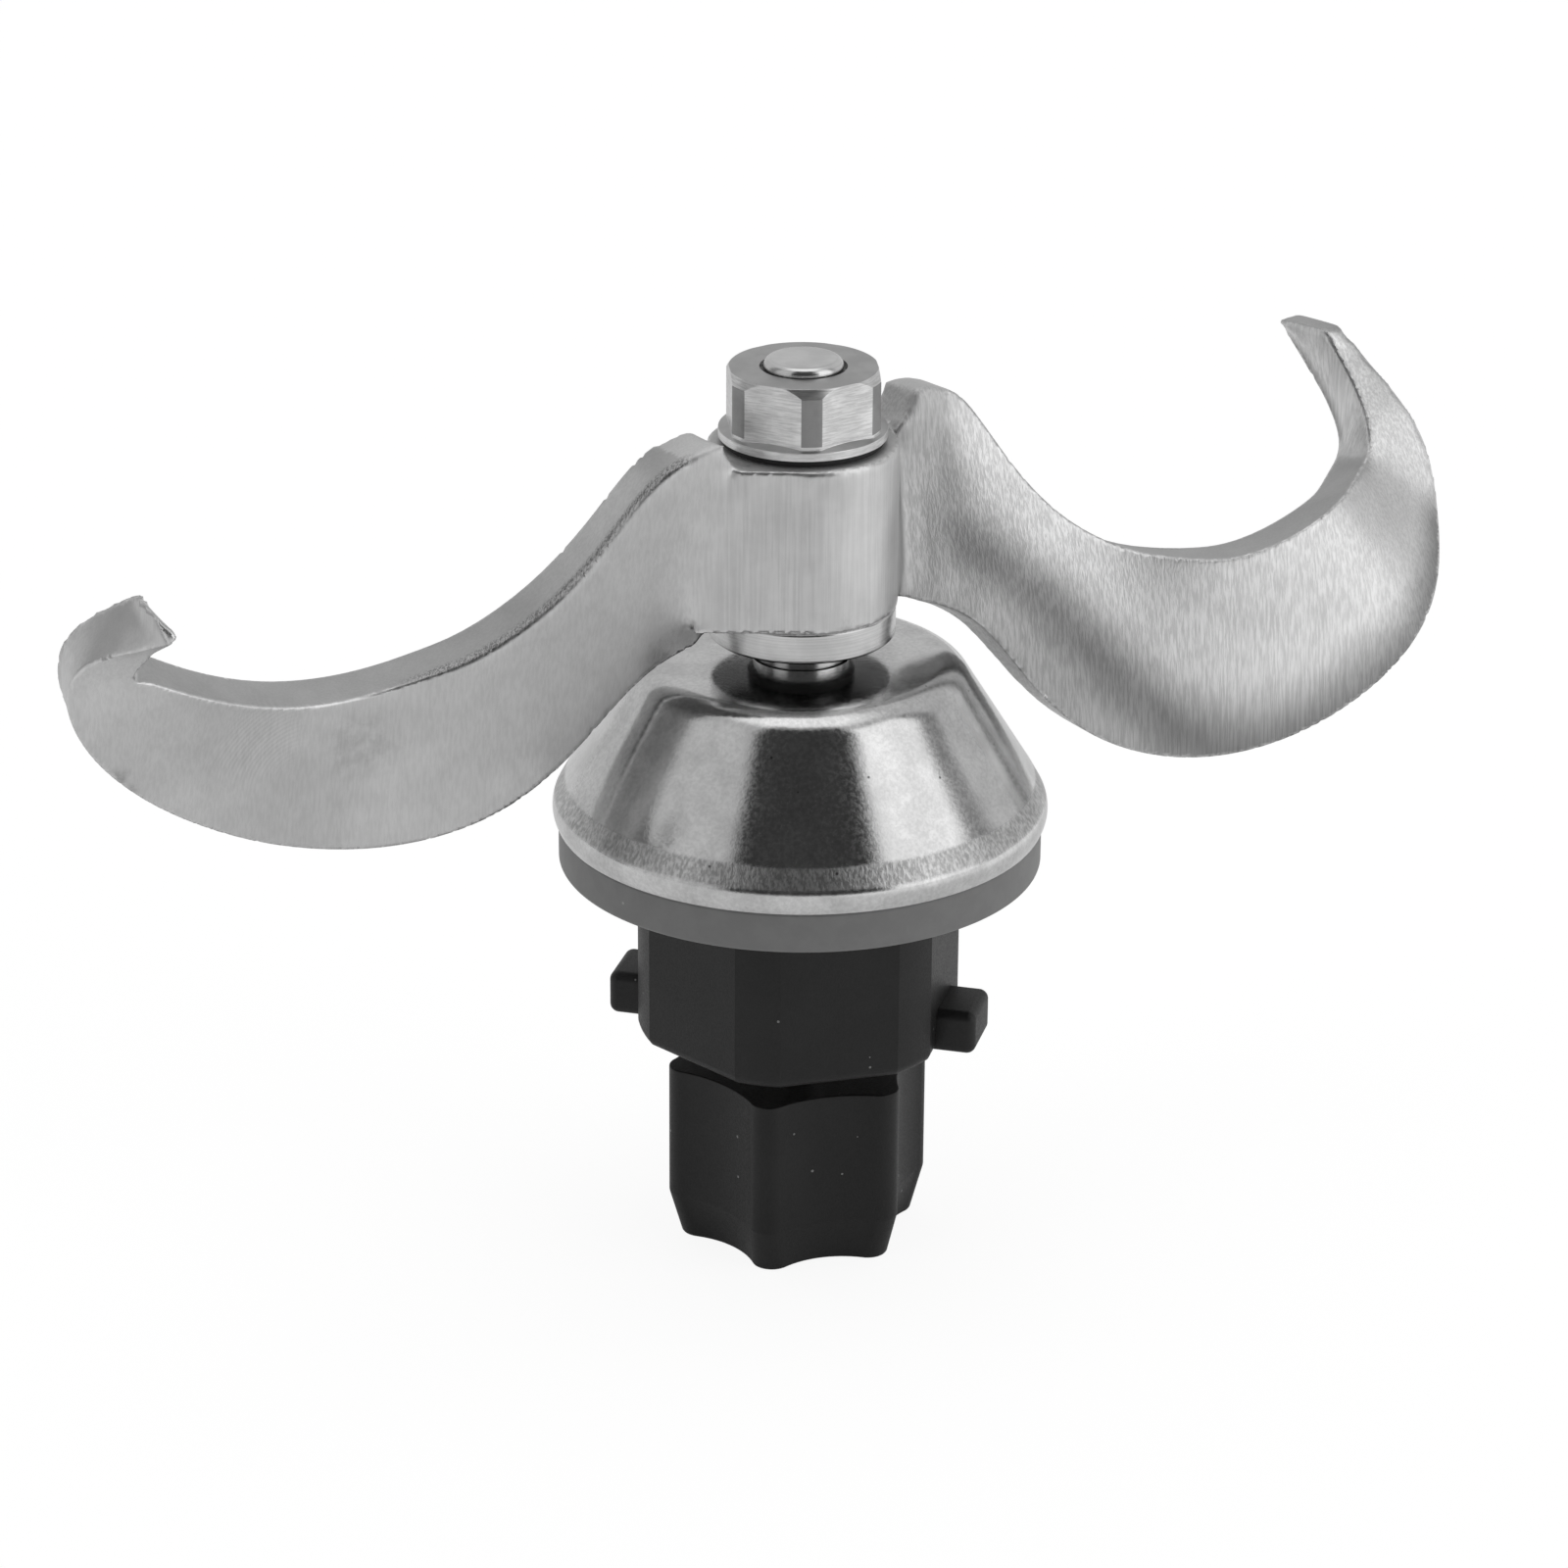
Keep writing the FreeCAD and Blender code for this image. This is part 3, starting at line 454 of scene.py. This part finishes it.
class Skin:
    """Points and edges of a mesh, with the sums over neighbours that smoothing needs."""

    def __init__(self, mesh):
        self.mesh = mesh
        self.points = self.read(mesh.vertices, "co", 3)
        self.edges = self.read(mesh.edges, "vertices", 2).astype(int)
        self.degree = np.bincount(self.edges.ravel(), minlength=len(self.points))

    def read(self, items, field, width):
        values = np.zeros(len(items) * width, np.float32 if field != "vertices" else np.int32)
        items.foreach_get(field, values)
        return values.reshape(-1, width) if width > 1 else values

    def around(self, values):
        """Mean of each point's neighbours."""
        a, b = self.edges.T
        size = len(self.points)
        if values.ndim == 1:
            total = np.bincount(a, values[b], size) + np.bincount(b, values[a], size)
            return total / self.degree
        return np.stack([self.around(values[:, k]) for k in range(values.shape[1])], 1)

    def normals(self):
        return self.read(self.mesh.vertices, "normal", 3)

    def hollow(self):
        """Above zero where the surface is an inner corner, below zero on an outer edge."""
        return np.einsum("ij,ij->i", self.around(self.points) - self.points, self.normals())

    def smooth(self, share, rounds):
        for _ in range(rounds):
            self.points = self.points + (self.around(self.points) - self.points) * share[:, None]
        self.write()

    def soften(self, on_edge, rounds):
        """Smooths the faces, and each sharp edge along itself only, then draws the edges in a little."""
        marked = on_edge.astype(float)
        lean = self.around(self.normals())
        beside = np.maximum(self.around(marked), 1e-6)[:, None]
        held = (self.around(marked) == 0)[:, None]
        for _ in range(rounds):
            along = np.where(held, self.points, self.around(self.points * marked[:, None]) / beside)
            target = np.where(on_edge[:, None], along, self.around(self.points))
            self.points = self.points + (target - self.points) * 0.4
        self.points = self.points - lean * (marked * EDGE_DRAWN_IN)[:, None]
        self.write()

    def write(self):
        self.mesh.vertices.foreach_set("co", self.points.astype(np.float32).ravel())
        self.mesh.update()

    def keep(self, name, values):
        """Stores values on the points for the material."""
        layer = self.mesh.attributes.new(name, "FLOAT", "POINT")
        layer.data.foreach_set("value", np.clip(values, 0, 1).astype(np.float32))


def ease(values):
    held = np.clip(values, 0, 1)
    return held * held * (3 - 2 * held)


def arms_frame(points):
    """Points turned so that the arms lie along X."""
    a = math.radians(BLADE_TURN)
    turn = np.array([[math.cos(a), -math.sin(a), 0], [math.sin(a), math.cos(a), 0], [0, 0, 1]])
    return points @ turn


class Edges:
    """Sharp outer edges of a mesh, each with its middle and its faces' normals in the arms' frame."""

    def __init__(self, mesh, sharp=35):
        work = bmesh.new()
        work.from_mesh(mesh)
        self.rows = []
        for edge in work.edges:
            if len(edge.link_faces) == 2 and edge.calc_face_angle_signed() > math.radians(sharp):
                ends = np.array([edge.verts[0].co, edge.verts[1].co])
                faces = arms_frame(np.array([face.normal for face in edge.link_faces]))
                self.rows.append((ends, arms_frame(ends.mean(0)), faces))
        work.free()

    def points(self, wanted):
        """Points close together along the wanted edges."""
        found = []
        for ends, middle, faces in self.rows:
            length = np.linalg.norm(ends[1] - ends[0])
            if wanted(middle, faces):
                steps = max(2, int(length / (SKIN_STEP / 4)))
                found += [ends[0] + (ends[1] - ends[0]) * k / steps for k in range(steps + 1)]
        return found


def face_edge(face_side, top):
    """Test for an arm's upper or lower edge along its hollow face, 1, or its outer face, -1."""
    def wanted(middle, faces):
        side = face_side if middle[0] > 0 else -face_side
        level = faces[:, 2] * (1 if top else -1)
        wall = faces[np.argmin(level)]
        return np.hypot(*middle[:2]) > HUB_R and level.max() > 0.35 and wall[1] * side > 0.4
    return wanted


def not_blended(middle, faces):
    out = np.hypot(*middle[:2])
    blended = out < BLEND_R and HUB_FOOT + BLEND_SHY < middle[2] < HUB_TOP - BLEND_SHY
    shoulder = HUB_R < out < SHOULDER_R and middle[2] > HUB_TOP + 0.2 * MM
    tip = out > TIP_R and middle[2] > TIP_Z
    return not blended and not shoulder and not tip


def nearest(points, targets):
    """Nearest target to each point, and its distance."""
    tree = KDTree(len(targets))
    for k, target in enumerate(targets):
        tree.insert(target, k)
    tree.balance()
    found = [tree.find(p) for p in points]
    return np.array([spot for spot, _, _ in found]), np.array([gap for _, _, gap in found])


def settle_on(skin, shape, edges):
    """Moves the skin's points on to the casting's faces and sharp edges."""
    work = bmesh.new()
    work.from_mesh(shape)
    faces = BVHTree.FromBMesh(work)
    work.free()
    skin.points = np.array([faces.find_nearest(p)[0] for p in skin.points])
    spots = np.array(edges.points(not_blended))
    worn = nearest(skin.points, spots)[1]
    tree = KDTree(len(skin.points))
    for k, point in enumerate(skin.points):
        tree.insert(point, k)
    tree.balance()
    found = [tree.find(spot)[1:] for spot in spots]
    for n in sorted(range(len(spots)), key=lambda n: -found[n][1]):
        skin.points[found[n][0]] = spots[n]
        worn[found[n][0]] = 0
    skin.write()
    return worn


def inner_corners(skin, out):
    """Wide share of the skin beside inner corners near the hub, and a narrow one close along them that carries
    painted shade.
    """
    wide = (skin.hollow() > 0.04 * SKIN_STEP) * (out < CREASE_R).astype(float)
    for k in range(CREASE_SPREAD):
        wide = (skin.around(wide) + wide > 0).astype(float)
        crease_shade = wide if k < SHADE_LINE_STEPS else skin.around(crease_shade)
    for _ in range(CREASE_SOFTER):
        wide = skin.around(wide)
    return wide, crease_shade


def facing_hollow(points, normals):
    """How far each point faces the arms' hollow side, 1, or their outer side, -1."""
    return arms_frame(normals)[:, 1] * np.sign(arms_frame(points)[:, 0])


def outer_faces(skin, edges, out):
    """Share of the arms' outer faces, and the place across them from 0 above to 1 below."""
    outer = ease((-facing_hollow(skin.points, skin.normals()) - 0.2) * 4) * ease((out - HUB_R) / (2 * MM))
    upper = nearest(skin.points, edges.points(face_edge(-1, True)))[1]
    lower = nearest(skin.points, edges.points(face_edge(-1, False)))[1]
    return outer, upper / (upper + lower + 0.01 * MM)


def painted_reflection_band(across, out):
    """Painted dark reflection on the outer face: a darker band that falls to the lower edge away from the hub,
    with painted shade by the hub.
    """
    middle = 0.58 + 0.44 * ease((out - 24 * MM) / (22 * MM))
    above, below = ease(1 - (middle - across) / 0.42), 1 - 0.4 * ease((across - middle) / 0.3)
    band = np.where(across < middle, above, below)
    shade_by_hub = 0.6 * (1 - ease((out - 12 * MM) / (7 * MM)))
    return np.maximum(band * ease((out - 10 * MM) / (6 * MM)), shade_by_hub)


def blade(finish):
    """Casting with a fine skin: softened inner corners, worn edges, a rough ground bevel, and masks for painted
    reflection and painted shade.
    """
    piece = merged_copy("mixing_blade", "blade_casting")
    shape = piece.data
    edges = Edges(shape)
    remesh = piece.modifiers.new("skin", "REMESH")
    remesh.mode = "VOXEL"
    remesh.voxel_size = SKIN_STEP
    settle(piece)
    skin = Skin(piece.data)
    worn = settle_on(skin, shape, edges)
    out = np.hypot(skin.points[:, 0], skin.points[:, 1])
    crease, corner = inner_corners(skin, out)
    height = skin.points[:, 2]
    crease = crease * ease(worn / (2 * SKIN_STEP)) * ease((HUB_TOP - height) / (0.5 * MM))
    skin.smooth(0.6 * crease, CREASE_ROUNDS)
    shoulder = ease((out - HUB_R - 0.4 * MM) / (0.6 * MM)) * ease((height - HUB_TOP) / (0.6 * MM))
    shoulder = shoulder * (out < SHOULDER_R)
    skin.smooth(0.5 * shoulder, SHOULDER_ROUNDS)
    skin.smooth(0.5 * (out > TIP_R) * (height > TIP_Z), TIP_ROUNDS)
    outer, across = outer_faces(skin, edges, out)
    normals = skin.normals()
    skin.points = skin.points + normals * (outer * 4 * across * (1 - across) * BULGE)[:, None]
    leaning = skin.around(skin.around(normals))
    hollow_line = nearest(skin.points, edges.points(face_edge(1, True)))[1]
    along = ease((out - GROUND_INNER_R) / (5 * MM)) * ease((GROUND_OUTER_R - out) / (10 * MM))
    cut = np.clip(BEVEL_WIDTH - hollow_line, 0, None) / math.sqrt(2) * along
    skin.points = skin.points - leaning * cut[:, None]
    skin.soften(worn == 0, EDGE_ROUNDS)
    ground = ease((GROUND_WIDTH - hollow_line) / (0.5 * MM)) * ease(along * 2) * ease(leaning[:, 2] * 2)
    skin.keep("edge", ease(1 - worn / EDGE_WIDTH) * (1 - ground))
    skin.keep("ground", ground)
    skin.keep("milled", shoulder)
    # Painted shade along the inner corners by the hub, below the hub's top, on faces that turn to the outer
    # side
    outward = ease(0.5 - 2 * facing_hollow(skin.points, normals))
    skin.keep("corner", corner * ease((HUB_TOP - height) / (1.5 * MM)) * outward)
    skin.keep("outer", outer)
    # Mask for the painted dark reflection band and painted shade by the hub on the outer faces
    skin.keep("painted_dark_reflection", outer * painted_reflection_band(across, out))
    piece.data.shade_smooth()
    stand_for(piece, "blade_casting", "rotor", finish)


def outline_of(piece):
    """Half outline of a turned piece, in order, where the plane through its axis cuts it."""
    work = bmesh.new()
    work.from_mesh(piece.data)
    whole = work.verts[:] + work.edges[:] + work.faces[:]
    cut = bmesh.ops.bisect_plane(work, geom=whole, plane_no=(0, 1, 0), dist=1e-7)["geom_cut"]
    edges = [part for part in cut if isinstance(part, bmesh.types.BMEdge)]
    rows = [edge for edge in edges if min(v.co.x for v in edge.verts) > 0]
    beside = {}
    for edge in rows:
        for here, there in (tuple(edge.verts), tuple(edge.verts)[::-1]):
            beside.setdefault(here, []).append(there)
    path = [rows[0].verts[0]]
    while len(path) < len(beside):
        path.append([v for v in beside[path[-1]] if len(path) < 2 or v != path[-2]][0])
    points = [Vector((v.co.x, 0, v.co.z)) for v in path]
    work.free()
    return [p for k, p in enumerate(points) if turning(points, k) > math.radians(0.3)]


def turning(points, k):
    """Angle by which a closed outline turns at one of its points."""
    before, here, after = points[k - 1], points[k], points[(k + 1) % len(points)]
    return (here - before).angle(after - here, 0.0)


def rounded(points, size):
    """Outline with its sharp corners broken by small rounds."""
    found = []
    for k, here in enumerate(points):
        if turning(points, k) < math.radians(25):
            found.append(here)
            continue
        before, after = points[k - 1] - here, points[(k + 1) % len(points)] - here
        reach = min(size, before.length * 0.4, after.length * 0.4)
        a, b = here + before.normalized() * reach, here + after.normalized() * reach
        for t in (0, 0.25, 0.5, 0.75, 1):
            found.append(a * (1 - t) ** 2 + here * (2 * t * (1 - t)) + b * t ** 2)
    return found


def turning_group():
    """Geometry group: an outline carried round the spindle's axis in even steps."""
    tree = bpy.data.node_groups.new("Turned piece", "GeometryNodeTree")
    tree.interface.new_socket("Outline", in_out="INPUT", socket_type="NodeSocketGeometry")
    tree.interface.new_socket("Steps", in_out="INPUT", socket_type="NodeSocketInt")
    tree.interface.new_socket("Finish", in_out="INPUT", socket_type="NodeSocketMaterial")
    tree.interface.new_socket("Piece", in_out="OUTPUT", socket_type="NodeSocketGeometry")
    given = tree.nodes.new("NodeGroupInput").outputs
    made = tree.nodes.new("NodeGroupOutput").inputs
    size = node(tree, "GeometryNodeAttributeDomainSize", {"Geometry": given["Outline"]})
    count = size.outputs["Point Count"]
    columns = maths(tree, "ADD", given["Steps"], 1.0)
    grid = node(tree, "GeometryNodeMeshGrid", {
        "Size X": 1.0, "Size Y": 1.0, "Vertices X": columns, "Vertices Y": count})
    spot = node(tree, "GeometryNodeInputPosition").outputs[0]
    parts = node(tree, "ShaderNodeSeparateXYZ", {0: spot}).outputs
    row = maths(tree, "MULTIPLY", maths(tree, "ADD", parts["Y"], 0.5), maths(tree, "SUBTRACT", count, 1.0))
    taken = node(tree, "GeometryNodeSampleIndex", {
        "Geometry": given["Outline"], "Index": maths(tree, "ROUND", row)}, data_type="FLOAT_VECTOR")
    tree.links.new(spot, taken.inputs["Value"])
    angle = maths(tree, "MULTIPLY", maths(tree, "ADD", parts["X"], 0.5), 2 * math.pi)
    spun = node(tree, "ShaderNodeVectorRotate", {
        "Vector": taken.outputs[0], "Angle": angle}, rotation_type="Z_AXIS")
    shaped = node(tree, "GeometryNodeSetPosition", {
        "Geometry": grid.outputs["Mesh"], "Position": spun.outputs[0]})
    closed = node(tree, "GeometryNodeMergeByDistance", {
        "Geometry": shaped.outputs[0], "Distance": 0.001 * MM})
    solid = node(tree, "GeometryNodeRealizeInstances", {"Geometry": closed.outputs[0]})
    dressed = node(tree, "GeometryNodeSetMaterial", {
        "Geometry": solid.outputs[0], "Material": given["Finish"]})
    tree.links.new(dressed.outputs[0], made["Piece"])
    return tree


def turned_piece(group, name, source, body, finish):
    """Turned piece in fine steps, with its outline taken from the CAD node and its corners broken."""
    piece = merged_copy(name, source)
    points = rounded(outline_of(piece), CORNER_ROUND)
    loop = points + points[:1]
    piece.data = bpy.data.meshes.new(name)
    piece.data.from_pydata(loop, [(k, k + 1) for k in range(len(loop) - 1)], [])
    turner = piece.modifiers.new("turned", "NODES")
    turner.node_group = group
    sockets = {item.name: item.identifier for item in group.interface.items_tree}
    turner[sockets["Steps"]] = TURN_STEPS
    turner[sockets["Finish"]] = finish
    settle(piece)
    work = bmesh.new()
    work.from_mesh(piece.data)
    bmesh.ops.recalc_face_normals(work, faces=work.faces)
    work.to_mesh(piece.data)
    work.free()
    piece.data.shade_smooth()
    piece.data.set_sharp_from_angle(angle=math.radians(24))
    stand_for(piece, source, body, finish)


def bevelled(name, source, body, finish, width, sharp=25):
    """Copy of a CAD node with its edges broken by a small round."""
    piece = merged_copy(name, source)
    work = bmesh.new()
    work.from_mesh(piece.data)
    bmesh.ops.dissolve_limit(work, angle_limit=math.radians(0.5), verts=work.verts, edges=work.edges)
    work.to_mesh(piece.data)
    work.free()
    piece.data.shade_smooth()
    round_off = piece.modifiers.new("edges", "BEVEL")
    round_off.width = width
    round_off.segments = 2
    round_off.limit_method = "ANGLE"
    round_off.angle_limit = math.radians(sharp)
    round_off.harden_normals = True
    settle(piece)
    stand_for(piece, source, body, finish)


def studio():
    """World: white to the camera, and a soft tent with dark gaps for what shines."""
    world = bpy.data.worlds.new("studio")
    bpy.context.scene.world = world
    world.use_nodes = True
    tree = world.node_tree
    tree.nodes.clear()
    ray = node(tree, "ShaderNodeTexCoord").outputs["Generated"]
    turned = node(tree, "ShaderNodeVectorRotate", {"Vector": ray, "Angle": math.radians(-VIEW_AZIMUTH)},
                  rotation_type="Z_AXIS").outputs[0]
    parts = node(tree, "ShaderNodeSeparateXYZ", {0: turned}).outputs
    azimuth = maths(tree, "ARCTAN2", parts["X"], maths(tree, "MULTIPLY", parts["Y"], -1.0))
    azimuth = maths(tree, "DEGREES", azimuth)
    rise = maths(tree, "DEGREES", maths(tree, "ARCSINE", parts["Z"]))
    light = TENT_LEVEL
    for low, high, foot, top, soft, level in TENT_PANELS:
        side = maths(tree, "MULTIPLY", ramp(tree, azimuth, low - soft, low + soft),
                     ramp(tree, azimuth, high + soft, high - soft))
        tall = maths(tree, "MULTIPLY", ramp(tree, rise, foot - soft, foot + soft),
                     ramp(tree, rise, top + soft, top - soft))
        share = maths(tree, "MULTIPLY", side, tall)
        light = maths(tree, "ADD", light, maths(tree, "MULTIPLY", share, level))
    tent = node(tree, "ShaderNodeBackground", {"Color": grey(tree, light), "Strength": 1.0})
    white = node(tree, "ShaderNodeBackground", {"Color": (1, 1, 1, 1), "Strength": 1.0})
    seen = node(tree, "ShaderNodeLightPath").outputs["Is Camera Ray"]
    both = node(tree, "ShaderNodeMixShader", {0: seen, 1: tent.outputs[0], 2: white.outputs[0]})
    node(tree, "ShaderNodeOutputWorld", {"Surface": both.outputs[0]})


def floor():
    """Pale round floor that keeps the object's shadow."""
    work = bmesh.new()
    bmesh.ops.create_circle(work, cap_ends=True, radius=FLOOR_R, segments=96)
    mesh = bpy.data.meshes.new("floor")
    work.to_mesh(mesh)
    work.free()
    piece = bpy.data.objects.new("floor", mesh)
    bpy.context.scene.collection.objects.link(piece)
    made = bpy.data.materials.new("floor")
    made.use_nodes = True
    tree = made.node_tree
    tree.nodes.clear()
    matte = node(tree, "ShaderNodeBsdfDiffuse", {"Color": (0.9, 0.9, 0.9, 1)})
    white = node(tree, "ShaderNodeEmission", {"Color": (1, 1, 1, 1), "Strength": 1.1})
    path = node(tree, "ShaderNodeLightPath").outputs
    share = maths(tree, "MULTIPLY", path["Is Camera Ray"], FLOOR_WHITE)
    turned = node(tree, "ShaderNodeVectorRotate", {"Vector": place(tree), "Angle": math.radians(-VIEW_AZIMUTH)},
                  rotation_type="Z_AXIS").outputs[0]
    aside = node(tree, "ShaderNodeSeparateXYZ", {0: turned}).outputs["X"]
    shine = mix(tree, ramp(tree, aside, 80 * MM, 260 * MM), FLOOR_SHINE, FLOOR_SIDE_SHINE)
    share = maths(tree, "MAXIMUM", share, maths(tree, "MULTIPLY", path["Is Glossy Ray"], shine))
    both = node(tree, "ShaderNodeMixShader", {0: share, 1: matte.outputs[0], 2: white.outputs[0]})
    node(tree, "ShaderNodeOutputMaterial", {"Surface": both.outputs[0]})
    mesh.materials.append(made)


def camera():
    """Camera at the photograph's place."""
    data = bpy.data.cameras.new("camera")
    data.lens = LENS
    data.sensor_width = SENSOR
    data.clip_start = 0.02
    data.clip_end = 20.0
    eye = bpy.data.objects.new("camera", data)
    bpy.context.scene.collection.objects.link(eye)
    elevation = math.radians(VIEW_ELEVATION)
    turn = Matrix.Rotation(math.radians(VIEW_AZIMUTH), 4, "Z")
    level, rise = VIEW_DISTANCE * math.cos(elevation), VIEW_DISTANCE * math.sin(elevation)
    back = Vector((VIEW_ASIDE, -level, rise))
    tilt = Matrix.Rotation(math.pi / 2 - elevation, 4, "X")
    roll = Matrix.Rotation(math.radians(VIEW_ROLL), 4, "Z")
    spot = Matrix.Translation(Vector((0, 0, VIEW_TARGET_HEIGHT)) + turn.to_3x3() @ back)
    eye.matrix_world = spot @ turn @ tilt @ roll
    bpy.context.scene.camera = eye


def dress(finishes):
    """The other CAD nodes keep their meshes and get their finishes."""
    for name, piece in frame["nodes"].items():
        piece.data.materials.clear()
        piece.data.materials.append(finishes[slot_of(name)])


def main():
    bpy.context.scene.view_settings.view_transform = "Standard"
    nut_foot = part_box("flange_nut")[0].z
    dome_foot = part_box("dome_cover")[0].z
    finishes = {
        "blade_steel": blade_steel(),
        "nut_steel": nut_steel(nut_foot + FLATS_RISE),
        "turned_steel": turned_steel(),
        "cover_steel": cover_steel(dome_foot + BAND_FOOT_RISE, dome_foot + BAND_TOP_RISE),
        "bearing_steel": plain("bearing_steel", 0.62, 0.22, metallic=1.0),
        "seal_silicone": seal_silicone(),
        "black_rubber": plain("black_rubber", 0.02, 0.55),
        "black_plastic": black_moulding("black_plastic", 0.008, 0.42),
        "cage_plastic": plain("cage_plastic", 0.3, 0.45, tint=(1.0, 0.72, 0.4)),
    }
    dress(finishes)
    blade(finishes["blade_steel"])
    turner = turning_group()
    turned_piece(turner, "bearing_cover", "dome_cover", "housing", finishes["cover_steel"])
    turned_piece(turner, "seal_ring", "bowl_seal_ring", "housing", finishes["seal_silicone"])
    turned_piece(turner, "polished_collar", "hub_collar", "rotor", finishes["turned_steel"])
    bevelled("hex_nut", "flange_nut", "rotor", finishes["nut_steel"], 0.12 * MM)
    bevelled("spindle", "spindle_shaft", "rotor", finishes["turned_steel"], 0.1 * MM)
    bevelled("lock_housing", "lock_body", "housing", finishes["black_plastic"], 0.2 * MM, sharp=12)
    bevelled("drive_star", "drive_coupling", "rotor", finishes["black_plastic"], 0.15 * MM, sharp=12)
    floor()
    studio()
    camera()


main()
